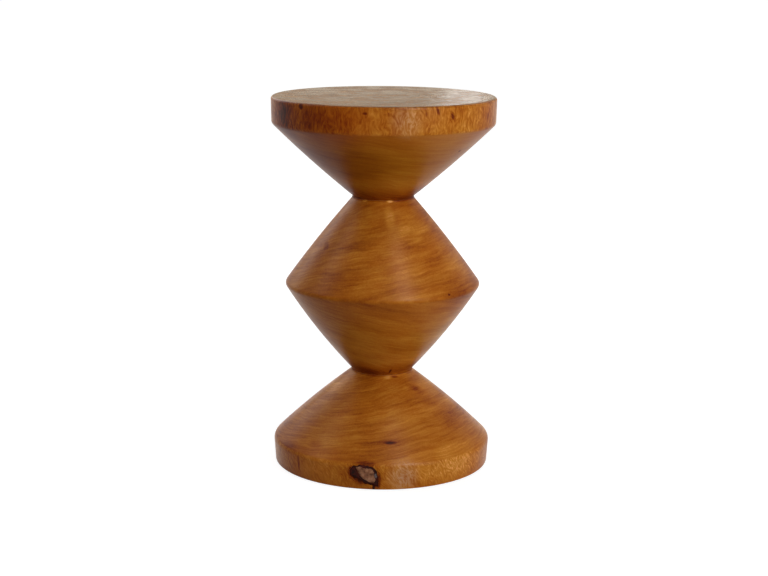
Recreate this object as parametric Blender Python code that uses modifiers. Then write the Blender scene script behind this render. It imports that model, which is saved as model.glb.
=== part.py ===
"""Zigzag stool: three turned hardwood blocks stacked on two loose round tenons.

Metres, +Z up. The origin lies on the floor under the turning axis, and the front faces -Y.
"""

import math

import bmesh
import bpy
from mathutils import Matrix

# Heights: the whole stool, then its steps from the floor up. The middle block's upper cone fills what is left
STOOL_HEIGHT = 0.4500
GLIDE_STAND = 0.0010
BASE_RIM_HEIGHT = 0.0294
BASE_CONE_HEIGHT = 0.0844
MIDDLE_LOWER_HEIGHT = 0.1086
SEAT_CONE_HEIGHT = 0.0894
SEAT_RIM_HEIGHT = 0.0317

# Diameters at the corners of the turned profile, before they are rounded
FOOT_DIAMETER = 0.2620
BASE_DIAMETER = 0.2660
LOWER_WAIST_DIAMETER = 0.0732
RIDGE_DIAMETER = 0.2381
UPPER_WAIST_DIAMETER = 0.0732
SEAT_LOWER_DIAMETER = 0.2688
SEAT_DIAMETER = 0.2702

# How far each hand-turned cone stands proud of a straight line, half-way along
BASE_CONE_BOW = 0.0020
MIDDLE_LOWER_BOW = 0.0032
MIDDLE_UPPER_BOW = 0.0017
SEAT_CONE_BOW = 0.0016

# Rounding of the corners, and the short straight neck that each block has at a waist
FOOT_ROUND = 0.0015
BASE_EDGE_ROUND = 0.0085
RIDGE_ROUND = 0.0050
SEAT_LOWER_ROUND = 0.0062
SEAT_EDGE_ROUND = 0.0035
WAIST_ROUND = 0.0030
NECK_HEIGHT = 0.0012
ARRIS_ROUND = 0.0006

# How far the block below a waist joint stands proud of the one above, as a fine lip along the joint line
WAIST_LIP = 0.0008

# The waist joints: one loose tenon, glued into a blind bore in each of two blocks
TENON_DIAMETER = 0.0380
TENON_LENGTH = 0.0840
TENON_CHAMFER = 0.0025
FLUTE_RADIUS = 0.0013
FLUTE_COUNT = 10
BORE_RELIEF = 0.0025
BORE_CHAMFER = 0.0012

# The hollowed underside, which leaves a standing ring for the felt glides
UNDERCUT_DEPTH = 0.0045
UNDERCUT_BOW = 0.0010
GLIDE_DIAMETER = 0.0260
GLIDE_THICKNESS = 0.0030
GLIDE_CHAMFER = 0.0004
GLIDE_MARGIN = 0.0060
GLIDE_COUNT = 4

# The encased knot in the base rim, and the dark resin that holds it in its pocket
KNOT_LENGTH = 0.0300
KNOT_WIDTH = 0.0150
KNOT_DEPTH = 0.0180
KNOT_LIFT = 0.0175
KNOT_TILT = math.radians(-36)
KNOT_AZIMUTH = math.radians(-8.3)
RESIN_BAND = 0.0032
RESIN_FLOOR = 0.0030

# Gap that glued or seated faces keep to each other
GLUE_GAP = 0.0003

# Facets
LATHE_STEPS = 56
TENON_STEPS = 40
GLIDE_STEPS = 24
KNOT_STEPS = 22
FLUTE_STEPS = 8
ROUND_STEPS = 4
CONE_STEPS = 5
SHARP_ANGLE = math.radians(28)
MERGE_DISTANCE = 0.00001
CUTTER_OVERRUN = 0.004

# Places that follow from the sizes above
LOWER_JOINT_Z = GLIDE_STAND + BASE_RIM_HEIGHT + BASE_CONE_HEIGHT
UPPER_JOINT_Z = STOOL_HEIGHT - SEAT_RIM_HEIGHT - SEAT_CONE_HEIGHT
MIDDLE_HEIGHT = UPPER_JOINT_Z - LOWER_JOINT_Z
MIDDLE_TOP_RADIUS = UPPER_WAIST_DIAMETER / 2 + WAIST_LIP
BASE_TOP_RADIUS = LOWER_WAIST_DIAMETER / 2 + WAIST_LIP
BORE_RADIUS = TENON_DIAMETER / 2 + GLUE_GAP
BORE_DEPTH = TENON_LENGTH / 2 + BORE_RELIEF
GLIDE_RING_RADIUS = FOOT_DIAMETER / 2 - GLIDE_MARGIN - GLIDE_DIAMETER / 2
STANDING_RING_INNER = GLIDE_RING_RADIUS - GLIDE_DIAMETER / 2 - GLIDE_MARGIN


def clear_scene():
    for obj in list(bpy.data.objects):
        bpy.data.objects.remove(obj)


def collection(name):
    made = bpy.data.collections.new(name)
    bpy.context.scene.collection.children.link(made)
    return made


def material(name, colour, roughness, metallic=0.0):
    made = bpy.data.materials.new(name)
    made.use_nodes = True
    shader = made.node_tree.nodes["Principled BSDF"]
    shader.inputs["Base Color"].default_value = (*colour, 1.0)
    shader.inputs["Roughness"].default_value = roughness
    shader.inputs["Metallic"].default_value = metallic
    return made


def place(name, mesh, group, finish=None, parent=None):
    """One named object for a mesh, in its collection."""
    obj = bpy.data.objects.new(name, mesh)
    group.objects.link(obj)
    obj.parent = parent
    if finish:
        mesh.materials.append(finish)
    return obj


def as_cutter(obj):
    obj.hide_render = True
    obj.display_type = "WIRE"
    return obj


def mesh_of(name, bm):
    mesh = bpy.data.meshes.new(name)
    bm.to_mesh(mesh)
    bm.free()
    return mesh


def shade(mesh):
    mesh.shade_smooth()
    mesh.set_sharp_from_angle(angle=SHARP_ANGLE)


def boolean(obj, other, operation="DIFFERENCE"):
    modifier = obj.modifiers.new(other.name, "BOOLEAN")
    modifier.operation = operation
    modifier.object = other


def bowed(start, end, bow):
    """Points between start and end on a shallow curve that stands bow to its left, half-way along."""
    along_r, along_z = end[0] - start[0], end[1] - start[1]
    length = math.hypot(along_r, along_z)
    points = []
    for step in range(1, CONE_STEPS):
        share = step / CONE_STEPS
        lift = 4 * bow * share * (1 - share) / length
        points.append((start[0] + along_r * share - along_z * lift, start[1] + along_z * share + along_r * lift))
    return points


def rounded(before, corner, after, radius):
    """The arc that rounds one corner of a profile. It never takes more than half of a neighbouring side."""
    to_before = (before[0] - corner[0], before[1] - corner[1])
    to_after = (after[0] - corner[0], after[1] - corner[1])
    reach_before, reach_after = math.hypot(*to_before), math.hypot(*to_after)
    cosine = (to_before[0] * to_after[0] + to_before[1] * to_after[1]) / (reach_before * reach_after)
    half_angle = math.acos(max(-1.0, min(1.0, cosine))) / 2
    tangent = min(radius / math.tan(half_angle), reach_before / 2, reach_after / 2)
    start = [corner[k] + to_before[k] / reach_before * tangent for k in (0, 1)]
    end = [corner[k] + to_after[k] / reach_after * tangent for k in (0, 1)]
    turn = math.pi - 2 * half_angle
    points = []
    for step in range(ROUND_STEPS + 1):
        angle = turn * step / ROUND_STEPS
        from_end = math.sin(angle) / math.sin(turn)
        from_start = math.sin(turn - angle) / math.sin(turn)
        inset = 1 - from_start - from_end
        centre = [
            corner[k] + (start[k] + end[k] - 2 * corner[k]) / (2 * math.cos(half_angle) ** 2) for k in (0, 1)
        ]
        points.append(tuple(start[k] * from_start + end[k] * from_end + centre[k] * inset for k in (0, 1)))
    return points


def outline(corners):
    """A profile from (radius, height, rounding) corners. Corners with no rounding stay as they are."""
    points = []
    for index, (radius, height, rounding) in enumerate(corners):
        if rounding:
            before, after = corners[index - 1][:2], corners[index + 1][:2]
            points.extend(rounded(before, (radius, height), after, rounding))
        else:
            points.append((radius, height))
    return points


def sharp(points):
    return [(radius, height, 0) for radius, height in points]


def turned(name, profile, group, steps, finish=None, parent=None):
    """A profile at +X, listed down its outer side, turned round the axis and shaded."""
    guide = bpy.data.meshes.new(name)
    guide.from_pydata([(radius, 0, height) for radius, height in profile],
                      [(index, index + 1) for index in range(len(profile) - 1)], [])
    obj = place(name, guide, group, parent=parent)
    screw = obj.modifiers.new("Turning", "SCREW")
    screw.axis = "Z"
    screw.steps = screw.render_steps = steps
    screw.use_merge_vertices = True
    screw.merge_threshold = MERGE_DISTANCE
    graph = bpy.context.evaluated_depsgraph_get()
    obj.data = bpy.data.meshes.new_from_object(obj.evaluated_get(graph))
    obj.modifiers.clear()
    bpy.data.meshes.remove(guide)
    obj.data.name = name
    shade(obj.data)
    if finish:
        obj.data.materials.append(finish)
    return obj


def upper_socket(height):
    """Profile of a block's top face at that height, from the bottom of its blind bore out to the neck."""
    return [
        (0, height - BORE_DEPTH, 0),
        (BORE_RADIUS, height - BORE_DEPTH, 0),
        (BORE_RADIUS, height - BORE_CHAMFER, 0),
        (BORE_RADIUS + BORE_CHAMFER, height, 0),
    ]


def lower_socket(height):
    """Profile of a block's bottom face at that height, from the neck in to the end of its blind bore."""
    return [(radius, 2 * height - level, rounding) for radius, level, rounding in reversed(upper_socket(height))]


def seat_profile():
    """Flat seat, upright rim and a cone down to the upper waist, with its joint face at height 0."""
    face = GLUE_GAP / 2
    top = SEAT_CONE_HEIGHT + SEAT_RIM_HEIGHT
    lower_edge = (SEAT_LOWER_DIAMETER / 2, SEAT_CONE_HEIGHT)
    neck = (UPPER_WAIST_DIAMETER / 2, NECK_HEIGHT)
    return outline([
        (0, top, 0),
        (SEAT_DIAMETER / 2, top, SEAT_EDGE_ROUND),
        (*lower_edge, SEAT_LOWER_ROUND),
        *sharp(bowed(lower_edge, neck, SEAT_CONE_BOW)),
        (*neck, WAIST_ROUND),
        (UPPER_WAIST_DIAMETER / 2, face, ARRIS_ROUND),
        *lower_socket(face),
    ])


def middle_profile():
    """Two cones, base to base, from the upper waist over the ridge to the lower waist at height 0."""
    top = MIDDLE_HEIGHT - GLUE_GAP / 2
    bottom = GLUE_GAP / 2
    upper_neck = (MIDDLE_TOP_RADIUS, MIDDLE_HEIGHT - NECK_HEIGHT)
    ridge = (RIDGE_DIAMETER / 2, MIDDLE_LOWER_HEIGHT)
    lower_neck = (LOWER_WAIST_DIAMETER / 2, NECK_HEIGHT)
    return outline([
        *upper_socket(top),
        (MIDDLE_TOP_RADIUS, top, ARRIS_ROUND),
        (*upper_neck, WAIST_ROUND),
        *sharp(bowed(upper_neck, ridge, MIDDLE_UPPER_BOW)),
        (*ridge, RIDGE_ROUND),
        *sharp(bowed(ridge, lower_neck, MIDDLE_LOWER_BOW)),
        (*lower_neck, WAIST_ROUND),
        (LOWER_WAIST_DIAMETER / 2, bottom, ARRIS_ROUND),
        *lower_socket(bottom),
    ])


def base_profile():
    """A cone from the lower waist out to a rim that tapers to the foot, and a hollowed underside at height 0."""
    top = BASE_RIM_HEIGHT + BASE_CONE_HEIGHT - GLUE_GAP / 2
    neck = (BASE_TOP_RADIUS, BASE_RIM_HEIGHT + BASE_CONE_HEIGHT - NECK_HEIGHT)
    rim_edge = (BASE_DIAMETER / 2, BASE_RIM_HEIGHT)
    ring_edge = (STANDING_RING_INNER, 0)
    hollow_centre = (0, UNDERCUT_DEPTH)
    return outline([
        *upper_socket(top),
        (BASE_TOP_RADIUS, top, ARRIS_ROUND),
        (*neck, WAIST_ROUND),
        *sharp(bowed(neck, rim_edge, BASE_CONE_BOW)),
        (*rim_edge, BASE_EDGE_ROUND),
        (FOOT_DIAMETER / 2, 0, FOOT_ROUND),
        (*ring_edge, 0),
        *sharp(bowed(ring_edge, hollow_centre, -UNDERCUT_BOW)),
        (*hollow_centre, 0),
    ])


def rod_profile(diameter, length, chamfer):
    """A plain rod or disc about height 0, with both ends chamfered."""
    radius, half = diameter / 2, length / 2
    return [
        (0, half),
        (radius - chamfer, half),
        (radius, half - chamfer),
        (radius, chamfer - half),
        (radius - chamfer, -half),
        (0, -half),
    ]


def flute_cutter(name, group, parent):
    """Round rods along the tenon's side, which cut the grooves that let trapped glue and air out."""
    bm = bmesh.new()
    for index in range(FLUTE_COUNT):
        turn = Matrix.Rotation(2 * math.pi * index / FLUTE_COUNT, 4, "Z")
        bmesh.ops.create_cone(
            bm, cap_ends=True, segments=FLUTE_STEPS, radius1=FLUTE_RADIUS, radius2=FLUTE_RADIUS,
            depth=TENON_LENGTH + CUTTER_OVERRUN, matrix=turn @ Matrix.Translation((TENON_DIAMETER / 2, 0, 0)),
        )
    return as_cutter(place(name, mesh_of(name, bm), group, parent=parent))


def make_tenon(name, joint_z, parts, cutters, finish, axis):
    """A fluted dowel, centred on the joint plane between two blocks."""
    profile = rod_profile(TENON_DIAMETER, TENON_LENGTH, TENON_CHAMFER)
    tenon = turned(name, profile, parts, TENON_STEPS, finish, axis)
    tenon.location.z = joint_z
    boolean(tenon, flute_cutter(name + "_flutes", cutters, tenon))


def make_glides(parts, cutters, finish, axis):
    """Felt discs set into the standing ring, and the cutter of the recesses that they lie in."""
    profile = rod_profile(GLIDE_DIAMETER, GLIDE_THICKNESS, GLIDE_CHAMFER)
    bm = bmesh.new()
    recess_depth = GLIDE_THICKNESS + GLUE_GAP + CUTTER_OVERRUN
    for index in range(GLIDE_COUNT):
        angle = 2 * math.pi * (index + 0.5) / GLIDE_COUNT
        x, y = GLIDE_RING_RADIUS * math.cos(angle), GLIDE_RING_RADIUS * math.sin(angle)
        glide = turned(f"felt_glide_{index + 1}", profile, parts, GLIDE_STEPS, finish, axis)
        glide.location = (x, y, GLIDE_THICKNESS / 2)
        recess_centre = GLIDE_THICKNESS + GLUE_GAP - recess_depth / 2
        bmesh.ops.create_cone(
            bm, cap_ends=True, segments=GLIDE_STEPS, radius1=GLIDE_DIAMETER / 2 + GLUE_GAP,
            radius2=GLIDE_DIAMETER / 2 + GLUE_GAP, depth=recess_depth,
            matrix=Matrix.Translation((x, y, recess_centre)),
        )
    return as_cutter(place("glide_recesses", mesh_of("glide_recesses", bm), cutters, parent=axis))


def knot_prism(name, growth, depth, group, axis):
    """A prism with the knot's wavy outline, grown outwards by growth, that runs from depth below the rim out of it."""
    bm = bmesh.new()
    made = bmesh.ops.create_circle(bm, cap_ends=True, radius=1, segments=KNOT_STEPS)
    for vertex in made["verts"]:
        angle = math.atan2(vertex.co.y, vertex.co.x)
        waviness = 1 + 0.10 * math.cos(3 * angle + 0.6) + 0.05 * math.cos(5 * angle - 1.0)
        vertex.co.x *= (KNOT_LENGTH / 2 + growth) * waviness
        vertex.co.y *= (KNOT_WIDTH / 2 + growth) * waviness
    bmesh.ops.rotate(bm, cent=(0, 0, 0), matrix=Matrix.Rotation(KNOT_TILT, 3, "Z"), verts=bm.verts)
    bottom = BASE_DIAMETER / 2 - depth
    bmesh.ops.translate(bm, vec=(0, 0, bottom), verts=bm.verts)
    wall = bmesh.ops.extrude_face_region(bm, geom=bm.faces[:])
    top = [item for item in wall["geom"] if isinstance(item, bmesh.types.BMVert)]
    bmesh.ops.translate(bm, vec=(0, 0, depth + CUTTER_OVERRUN), verts=top)
    bmesh.ops.recalc_face_normals(bm, faces=bm.faces[:])
    prism = place(name, mesh_of(name, bm), group, parent=axis)
    prism.rotation_euler = (math.pi / 2, 0, KNOT_AZIMUTH)
    prism.location.z = GLIDE_STAND + KNOT_LIFT
    return prism


def make_knot(parts, cutters, blank, finishes, axis):
    """The knot and its ring of resin, both flush with the turned rim. Returns the cutter of their pocket."""
    resin_growth = GLUE_GAP + RESIN_BAND
    resin_depth = KNOT_DEPTH + GLUE_GAP + RESIN_FLOOR
    pocket = as_cutter(knot_prism("knot_pocket", resin_growth + GLUE_GAP, resin_depth + GLUE_GAP, cutters, axis))
    bed = as_cutter(knot_prism("knot_bed", GLUE_GAP, KNOT_DEPTH + GLUE_GAP, cutters, axis))
    resin = knot_prism("knot_resin", resin_growth, resin_depth, parts, axis)
    resin.data.materials.append(finishes["resin"])
    boolean(resin, blank, "INTERSECT")
    boolean(resin, bed)
    plug = knot_prism("knot_plug", 0, KNOT_DEPTH, parts, axis)
    plug.data.materials.append(finishes["knot"])
    boolean(plug, blank, "INTERSECT")
    return pocket


def make_finishes():
    return {
        "wood": material("turned_hardwood", (0.42, 0.19, 0.045), 0.36),
        "tenon": material("dowel_hardwood", (0.55, 0.36, 0.17), 0.60),
        "knot": material("knot_wood", (0.30, 0.16, 0.07), 0.45),
        "resin": material("dark_resin", (0.035, 0.014, 0.008), 0.20),
        "felt": material("wool_felt", (0.12, 0.09, 0.07), 0.95),
    }


def main():
    clear_scene()
    parts = collection("zigzag_stool")
    cutters = collection("cutters")
    finishes = make_finishes()
    axis = place("stool_axis", None, parts)

    seat = turned("seat_block", seat_profile(), parts, LATHE_STEPS, finishes["wood"], axis)
    seat.location.z = UPPER_JOINT_Z
    middle = turned("middle_block", middle_profile(), parts, LATHE_STEPS, finishes["wood"], axis)
    middle.location.z = LOWER_JOINT_Z
    base = turned("base_block", base_profile(), parts, LATHE_STEPS, finishes["wood"], axis)
    base.location.z = GLIDE_STAND
    blank = as_cutter(turned("base_blank", base_profile(), cutters, LATHE_STEPS, parent=axis))
    blank.location.z = GLIDE_STAND

    make_tenon("upper_tenon", UPPER_JOINT_Z, parts, cutters, finishes["tenon"], axis)
    make_tenon("lower_tenon", LOWER_JOINT_Z, parts, cutters, finishes["tenon"], axis)
    boolean(base, make_glides(parts, cutters, finishes["felt"], axis))
    boolean(base, make_knot(parts, cutters, blank, finishes, axis))


main()
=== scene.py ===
"""Zigzag stool of three turned hardwood blocks: its looks, light and camera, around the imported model."""

import math
from types import SimpleNamespace

import bmesh
import bpy
from mathutils import Matrix, Vector, noise
from mathutils.bvhtree import BVHTree


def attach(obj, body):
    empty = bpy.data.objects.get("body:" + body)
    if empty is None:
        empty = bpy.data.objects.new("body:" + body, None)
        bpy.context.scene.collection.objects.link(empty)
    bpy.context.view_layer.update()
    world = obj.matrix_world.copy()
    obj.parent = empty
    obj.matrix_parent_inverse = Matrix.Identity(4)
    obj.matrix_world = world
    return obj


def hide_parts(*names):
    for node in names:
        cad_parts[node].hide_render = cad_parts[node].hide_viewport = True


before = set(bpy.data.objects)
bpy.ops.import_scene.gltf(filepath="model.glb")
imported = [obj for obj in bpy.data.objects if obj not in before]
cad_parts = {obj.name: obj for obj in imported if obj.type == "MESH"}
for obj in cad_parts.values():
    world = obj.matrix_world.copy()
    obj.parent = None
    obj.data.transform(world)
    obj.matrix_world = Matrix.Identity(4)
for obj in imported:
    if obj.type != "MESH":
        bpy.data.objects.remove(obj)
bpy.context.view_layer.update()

MM = 0.001

# Corners of the turned profile in metres: heights from the floor, then diameters, bows and rounds
FOOT_Z = 0.0010
BASE_EDGE_Z = 0.0304
LOWER_JOINT_Z = 0.1148
RIDGE_Z = 0.2234
UPPER_JOINT_Z = 0.3289
SEAT_EDGE_Z = 0.4183
SEAT_Z = 0.4500
FOOT_DIAMETER = 0.2620
BASE_DIAMETER = 0.2660
LOWER_WAIST_DIAMETER = 0.0732
RIDGE_DIAMETER = 0.2381
UPPER_WAIST_DIAMETER = 0.0732
SEAT_LOWER_DIAMETER = 0.2688
SEAT_DIAMETER = 0.2702
BASE_CONE_BOW = 0.0020
MIDDLE_LOWER_BOW = 0.0032
MIDDLE_UPPER_BOW = 0.0017
SEAT_CONE_BOW = 0.0016
FOOT_ROUND = 0.0015
BASE_EDGE_ROUND = 0.0085
RIDGE_ROUND = 0.0050
SEAT_LOWER_ROUND = 0.0062
SEAT_EDGE_ROUND = 0.0035
WAIST_ROUND = 0.0030
NECK_HEIGHT = 0.0012
WAIST_LIP = 0.0011
LIP_ROUND = 0.0010
ARRIS_ROUND = 0.0006
GLUE_GAP = 0.0003
SEAM_GAP = 0.0001
BORE_RADIUS = 0.0193
BORE_DEPTH = 0.0445
STANDING_RING_INNER = 0.0930
UNDERCUT_DEPTH = 0.0045

# Felt glides under the standing ring
GLIDE_RADIUS = 0.0130
GLIDE_THICKNESS = 0.0030
GLIDE_RING_RADIUS = 0.1120
GLIDE_COUNT = 4
GLIDE_BULGE = 0.0001
GLIDE_TOP_ROUND = 0.0003
GLIDE_SIDE_ROUND = 0.0020
GLIDE_FOOT_ROUND = 0.0005
GLIDE_STEPS = 96

# How finely the lathe pieces are drawn, and the angles in degrees past which an edge stays sharp
STEPS_AROUND = 288
CONE_POINTS = 28
ROUND_PIECES = 9
RAIL_RADIUS = 0.1
MERGE_DISTANCE = 0.000002
TURNED_SHARP = 28
SOFT_SHARP = 40

# The encased knot in the base rim: its middle, and outlines as millimetres across and up from there
KNOT_AZIMUTH = -0.1417
KNOT_Z = 0.0185
KNOT_POCKET = [
    (-19.6, 3.2), (-16.9, 8.2), (-11.1, 11.6), (-2.7, 12.4), (5.9, 11.2), (12.2, 7.8), (14.9, 1.2),
    (15.7, -8.0), (15.2, -13.4), (7.8, -11.6), (-1.2, -10.2), (-7.2, -5.5), (-15.4, -3.2),
]
KNOT_CORE = [
    (-10.4, 7.2), (-9.5, 10.2), (-5.3, 10.0), (-0.5, 8.6), (6.0, 8.4), (9.5, 6.1), (11.2, -0.1),
    (12.6, -7.4), (7.8, -9.0), (-0.6, -5.9), (-6.2, -1.0),
]
KNOT_STEPS = 160
KNOT_RINGS = 14
FILL_RINGS = 44
POCKET_RINGS = 3
OUTLINE_PIECES = 8

# How ragged the outlines and how uneven the knot's face are: waves of a noise, and the slice used of it
RAGGED_SHARE = 0.10
RAGGED_WAVES = 4
RAGGED_SLICE = 0.3
FACE_WAVES = 2.5
FACE_SLICE = 0.7

# Depths of the knot below the turned rim in metres, how late its face drops towards its edge, and how
# far from the turning axis the rays start that find the rim
FACE_SINK = 0.0004
EDGE_SINK = 0.0009
EDGE_STEEPNESS = 6
FACE_UNEVEN = 0.0005
CORE_FLOOR = 0.0030
FILL_UNDER_CORE = 0.0032
FILL_FLOOR = 0.0085
KNOT_POCKET_DEPTH = 0.0090
POCKET_CLEARANCE = 0.0002
POCKET_OPENING = -0.0040
BEYOND_RIM = 0.3

# A polished drop of resin at the knot's right: its middle, half sizes and how its face slopes
DROP_MIDDLE = (0.0125, -0.0003)
DROP_HALF = (0.0019, 0.0030)
DROP_DEPTH = 0.0003
DROP_SLOPE = (0.49, 0.18)
DROP_REACH = 0.003

# The log's pith lies beside the turning axis
PITH = (-0.016, 0.010)

# How the rings sway along the log, how a finer curl ruffles them, and how the outer wood swirls:
# the size of a bend and how far it shifts the wood in mm, its squeeze along the log (below 1, it is
# longer there), and its detail
SWAY = (110.0, 10.0, 0.45, 1.0)
CURL = (20.0, 3.6, 0.40, 2.0)
SWIRL = (12.0, 16.5, 0.60, 1.0)
BEND_ROUGHNESS = 0.45

# Lines along the rings: width across them in mm, the arc in radians and the length of log in mm after
# which one fades, and detail. Real flecks are finer; these are drawn coarse enough to show
RING_LINES = {
    "bands": (13.0, 0.90, 200.0, 1.0),
    "streaks": (2.6, 0.46, 70.0, 3.0),
    "flecks": (1.3, 0.20, 24.0, 1.0),
}
RING_ROUGHNESS = 0.55

# Grains: which place each is drawn on, its size across and along the log in mm, detail and roughness.
# Real pores are about 0.2 mm wide; these are drawn coarse enough to show
GRAINS = {
    "tone": ("swayed", 75.0, 75.0, 2.0, 0.50),
    "pores": ("curled", 2.2, 2.2, 4.0, 0.65),
    "fibres": ("combed", 2.7, 9.5, 2.5, 0.62),
    "stains": ("curled", 23.0, 23.0 / 0.55, 3.0, 0.50),
    "specks": ("place", 8.0, 8.0, 2.0, 0.70),
}

# What each wood's figure is mixed from, with weights
INNER_FIGURE = {"streaks": 0.26, "flecks": 0.20, "pores": 0.20, "bands": 0.34, "tone": 0.34}
OUTER_FIGURE = {"fibres": 0.84, "stains": 0.40, "tone": 0.16}
END_FIGURE = {"pores": 0.50, "specks": 0.30, "stains": 0.30, "bands": 0.50, "streaks": 0.70}
END_RELIEF = {"pores": 3.50, "specks": 14.00}
OUTER_TONE = 0.555
END_TONE = 0.50

# Changes with height: two heights in metres, and the factor up to the first and from the second on.
# LATER_SEAT_CURLS holds depths in metres and TWISTED_BASE_FIBRES angles in radians instead
LIVELIER_ABOVE_RIDGE = (0.2100, 0.2350, 0.90, 1.35)
PLAINER_SEAT = (0.3000, 0.3450, 1.00, 0.44)
BOLDER_BASE = (0.1050, 0.1250, 1.45, 1.00)
FINER_BASE_FIBRES = (0.0500, 0.4000, 1.25, 1.00)
CALMER_BASE_FIBRES = (0.0500, 0.4000, 0.90, 1.00)
LATER_SEAT_CURLS = (0.0500, 0.4000, 0.0, -0.0022)
TWISTED_BASE_FIBRES = (0.0, BASE_EDGE_Z, 0.0, 0.15)
TOP_FACE = (0.4488, 0.4498, 0.0, 1.0)

# Changes with distance from the turning axis in metres: the pale heart, and where curly outer wood begins
HEART_FROM, HEART_TO = 0.0400, 0.1000
HEART_TONE, SIDE_TONE = 0.585, 0.50
CURLY_FROM, CURLY_TO = 0.1304, 0.1320

# Colours from the darkest to the palest tone
WOOD_STOPS = [
    (0.00, "#1E0A04"), (0.14, "#451804"), (0.33, "#7A3507"),
    (0.50, "#A56018"), (0.68, "#C08131"), (0.92, "#F0BA74"),
]
END_STOPS = [(0.25, "#4E2A12"), (0.42, "#84552F"), (0.60, "#9C6C42"), (0.80, "#BE9668")]
BAND_TINT = "#FFE7BC"
# The grey of a painted sheen, a window's reflection on both rims
SHEEN_GREY = "#B09078"

# How the oil shines: two limits of the sides' tone or the top's stains, and the roughness at each.
# The relief is a strength, and a depth in metres
SIDE_GLOSS = (0.30, 0.70, 0.36, 0.28)
TOP_GLOSS = (0.40, 0.58, 0.06, 0.23)
OIL_IOR = 1.15
OIL_RELIEF = (0.20, 0.0002)

# A mark whose half size across is below SOFT_MARK, in mm, has a firm core. The core and the faded edge
# are shares of the half size
SOFT_MARK = 9.0
MARK_CORE = 0.35
MARK_EDGE = 1.25
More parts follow.
